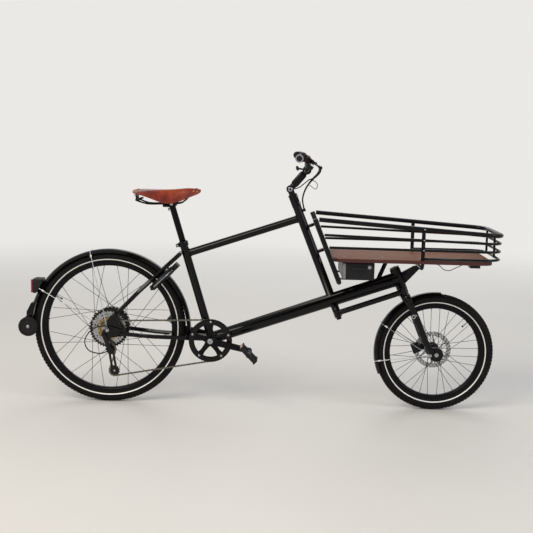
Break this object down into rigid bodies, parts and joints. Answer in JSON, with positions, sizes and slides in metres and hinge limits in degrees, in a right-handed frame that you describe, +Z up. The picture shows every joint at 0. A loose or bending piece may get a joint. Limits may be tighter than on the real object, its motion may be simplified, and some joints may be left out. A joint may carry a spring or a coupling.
{
  "type": "electric cargo bike",
  "caption": "Front-loading electric cargo bike with a rail basket over a small front wheel, linkage steering, a rear hub motor and a sprung leather saddle.",
  "frame": {"origin": "centre of the bounding box in plan, at the floor under the tyres", "axes": "+X towards the front wheel, +Y to the rider's left, +Z up"},
  "size_m": [2.041, 0.6264, 1.0936],
  "materials": {
    "aluminium": "satin",
    "black_plastic": "matte",
    "gloss_black": "gloss",
    "leather": "satin",
    "plywood": "satin varnish",
    "red_lens": "translucent red",
    "rubber": "matte",
    "satin_black": "satin",
    "steel": "satin",
    "tyre": "matte"
  },
  "bodies": {
    "frame": {"basket_hoop": "gloss_black", "basket_middle_rail": "gloss_black", "basket_top_rail": "gloss_black", "basket_upper_rail": "gloss_black", "bottom_bracket": "steel", "bulkhead_frame": "gloss_black", "cargo_deck": "plywood", "chain": "steel", "derailleur_body": "gloss_black", "gear_cable": "black_plastic", "headlight": "gloss_black", "main_frame": "gloss_black", "rear_axle": "steel", "rear_mudguard": "gloss_black", "rear_triangle": "gloss_black", "ring_lock": "satin_black", "seat_clamp": "aluminium", "tail_light": "black_plastic", "tail_light_lens": "red_lens"},
    "rear_wheel": {"hub_motor": "gloss_black", "rear_rim": "satin_black", "rear_rotor": "steel", "rear_tyre": "tyre"},
    "cassette": {"cassette": "steel"},
    "crank": {"chainring": "satin_black", "left_crank": "gloss_black", "right_crank": "gloss_black"},
    "right_pedal": {"right_pedal": "black_plastic"},
    "left_pedal": {"left_pedal": "black_plastic"},
    "derailleur_cage": {"derailleur_cage": "gloss_black"},
    "guide_pulley": {"guide_pulley": "black_plastic"},
    "tension_pulley": {"tension_pulley": "black_plastic"},
    "tail_rollers": {"tail_rollers": "rubber"},
    "lock_bolt": {"ring_lock_bolt": "steel"},
    "steering_column": {"steering_shaft": "gloss_black", "stem_base": "gloss_black"},
    "stem": {"brake_hoses": "black_plastic", "handlebar": "gloss_black", "left_grip": "rubber", "left_lever_mount": "gloss_black", "right_grip": "rubber", "right_lever_mount": "gloss_black", "shifter": "black_plastic", "stem_arm": "gloss_black"},
    "right_brake_lever": {"right_brake_lever": "aluminium"},
    "left_brake_lever": {"left_brake_lever": "aluminium"},
    "thumb_lever": {"thumb_lever": "black_plastic"},
    "tie_rod": {"tie_rod": "gloss_black"},
    "fork": {"fork": "gloss_black", "front_axle": "steel", "front_caliper": "satin_black", "front_mudguard": "gloss_black"},
    "front_wheel": {"front_hub": "satin_black", "front_rim": "satin_black", "front_rotor": "steel", "front_tyre": "tyre"},
    "battery": {"battery": "black_plastic"},
    "seatpost": {"saddle_cover": "leather", "saddle_frame": "satin_black", "seatpost": "aluminium"}
  },
  "joints": [
    {"name": "rear_wheel_spin", "type": "hinge", "parent": "frame", "child": "rear_wheel", "pos_m": [-0.6325, 0, 0.3265], "axis": [0, 1, 0], "continuous": true},
    {"name": "cassette_spin", "type": "hinge", "parent": "frame", "child": "cassette", "pos_m": [-0.6325, 0, 0.3265], "axis": [0, 1, 0], "continuous": true},
    {"name": "crank_spin", "type": "hinge", "parent": "frame", "child": "crank", "pos_m": [-0.1955, 0, 0.287], "axis": [0, 1, 0], "continuous": true},
    {"name": "right_pedal_spin", "type": "hinge", "parent": "crank", "child": "right_pedal", "pos_m": [-0.02947, 0, 0.25049], "axis": [0, 1, 0], "continuous": true},
    {"name": "left_pedal_spin", "type": "hinge", "parent": "crank", "child": "left_pedal", "pos_m": [-0.36153, 0, 0.32351], "axis": [0, 1, 0], "continuous": true},
    {"name": "cage_swing", "type": "hinge", "parent": "frame", "child": "derailleur_cage", "pos_m": [-0.6225, 0, 0.238], "axis": [0, 1, 0], "range_deg": [-25, 8], "stiffness_Nm_per_rad": 0.6, "deforming": ["chain"]},
    {"name": "guide_pulley_spin", "type": "hinge", "parent": "derailleur_cage", "child": "guide_pulley", "pos_m": [-0.6225, 0, 0.238], "axis": [0, 1, 0], "continuous": true},
    {"name": "tension_pulley_spin", "type": "hinge", "parent": "derailleur_cage", "child": "tension_pulley", "pos_m": [-0.60544, 0, 0.14505], "axis": [0, 1, 0], "continuous": true},
    {"name": "roller_spin", "type": "hinge", "parent": "frame", "child": "tail_rollers", "pos_m": [-0.9785, 0, 0.326], "axis": [0, 1, 0], "continuous": true},
    {"name": "lock_bolt_slide", "type": "hinge", "parent": "frame", "child": "lock_bolt", "pos_m": [-0.4131, 0, 0.53837], "axis": [0.6947, 0, -0.7193], "range_deg": [0, 88]},
    {"name": "steer", "type": "hinge", "parent": "frame", "child": "steering_column", "pos_m": [0.3415, 0, 0.42], "axis": [-0.3795, 0, 0.9252], "range_deg": [-40, 40], "deforming": ["brake_hoses"]},
    {"name": "stem_tilt", "type": "hinge", "parent": "steering_column", "child": "stem", "pos_m": [0.12874, 0, 0.93877], "axis": [0, 1, 0], "range_deg": [-20, 30], "deforming": ["brake_hoses"]},
    {"name": "right_brake_pull", "type": "hinge", "parent": "stem", "child": "right_brake_lever", "pos_m": [0.21328, -0.184, 1.05866], "axis": [-0.5, 0, -0.866], "range_deg": [0, 18], "stiffness_Nm_per_rad": 0.5},
    {"name": "left_brake_pull", "type": "hinge", "parent": "stem", "child": "left_brake_lever", "pos_m": [0.21328, 0.184, 1.05866], "axis": [0.5, 0, 0.866], "range_deg": [0, 18], "stiffness_Nm_per_rad": 0.5},
    {"name": "thumb_lever_push", "type": "hinge", "parent": "stem", "child": "thumb_lever", "pos_m": [0.20381, -0.126, 1.03906], "axis": [0.5, 0, 0.866], "range_deg": [0, 20], "stiffness_Nm_per_rad": 0.2},
    {"name": "tie_rod_turn", "type": "hinge", "parent": "steering_column", "child": "tie_rod", "pos_m": [0.3415, -0.055, 0.42], "axis": [-0.3795, 0, 0.9252], "range_deg": [-40, 40]},
    {"name": "fork_steer", "type": "hinge", "parent": "frame", "child": "fork", "pos_m": [0.73512, 0, 0.23972], "axis": [-0.3795, 0, 0.9252], "range_deg": [-40, 40]},
    {"name": "front_wheel_spin", "type": "hinge", "parent": "fork", "child": "front_wheel", "pos_m": [0.7675, 0, 0.253], "axis": [0, 1, 0], "continuous": true},
    {"name": "battery_slide", "type": "slide", "parent": "frame", "child": "battery", "axis": [0, -1, 0], "range_m": [0, 0.36]},
    {"name": "seatpost_slide", "type": "slide", "parent": "frame", "child": "seatpost", "axis": [-0.2957, 0, 0.9553], "range_m": [-0.06, 0.08]}
  ],
  "couplings": [
    {"joint": "cassette_spin", "follows": "crank_spin", "ratio": 2.5882},
    {"joint": "guide_pulley_spin", "follows": "crank_spin", "ratio": -4},
    {"joint": "tension_pulley_spin", "follows": "crank_spin", "ratio": 4},
    {"joint": "fork_steer", "follows": "steer", "ratio": 1},
    {"joint": "tie_rod_turn", "follows": "steer", "ratio": -1}
  ]
}
